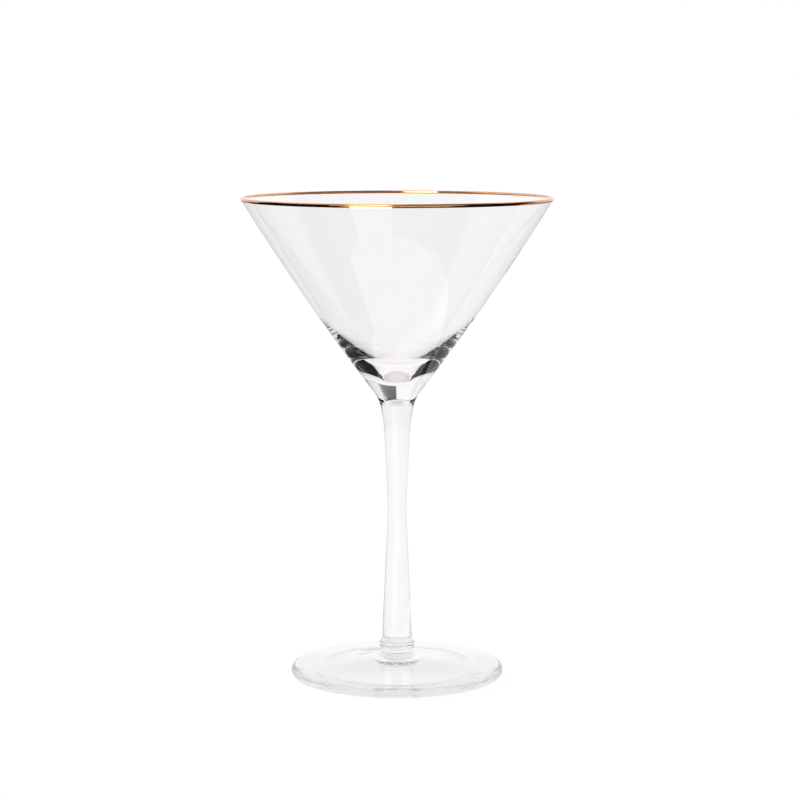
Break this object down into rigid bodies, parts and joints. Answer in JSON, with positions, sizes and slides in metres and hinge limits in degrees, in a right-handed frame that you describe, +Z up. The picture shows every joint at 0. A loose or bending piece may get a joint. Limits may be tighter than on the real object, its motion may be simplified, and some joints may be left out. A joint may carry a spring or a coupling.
{
  "type": "martini glass",
  "caption": "Stemmed cocktail glass with a wide conical bowl, gilded lip, waisted stem, merese collar and round domed foot.",
  "frame": {"origin": "centre of the foot's underside, in the plane that the glass rests on", "axes": "+Z up along the glass's axis of revolution, from foot to rim; +X and +Y are any two square directions across it"},
  "size_m": [0.116, 0.116, 0.18],
  "materials": {
    "clear_glass": "clear polished soda-lime glass, colourless, with faint drawn streaks in the stem",
    "gold_lustre": "thin fired-on polished gold, slightly copper in tone, worn a little at the lip"
  },
  "bodies": {
    "root": {"bowl": "clear_glass", "stem": "clear_glass", "foot_collar": "clear_glass", "foot": "clear_glass", "gold_rim": "gold_lustre"}
  },
  "joints": []
}
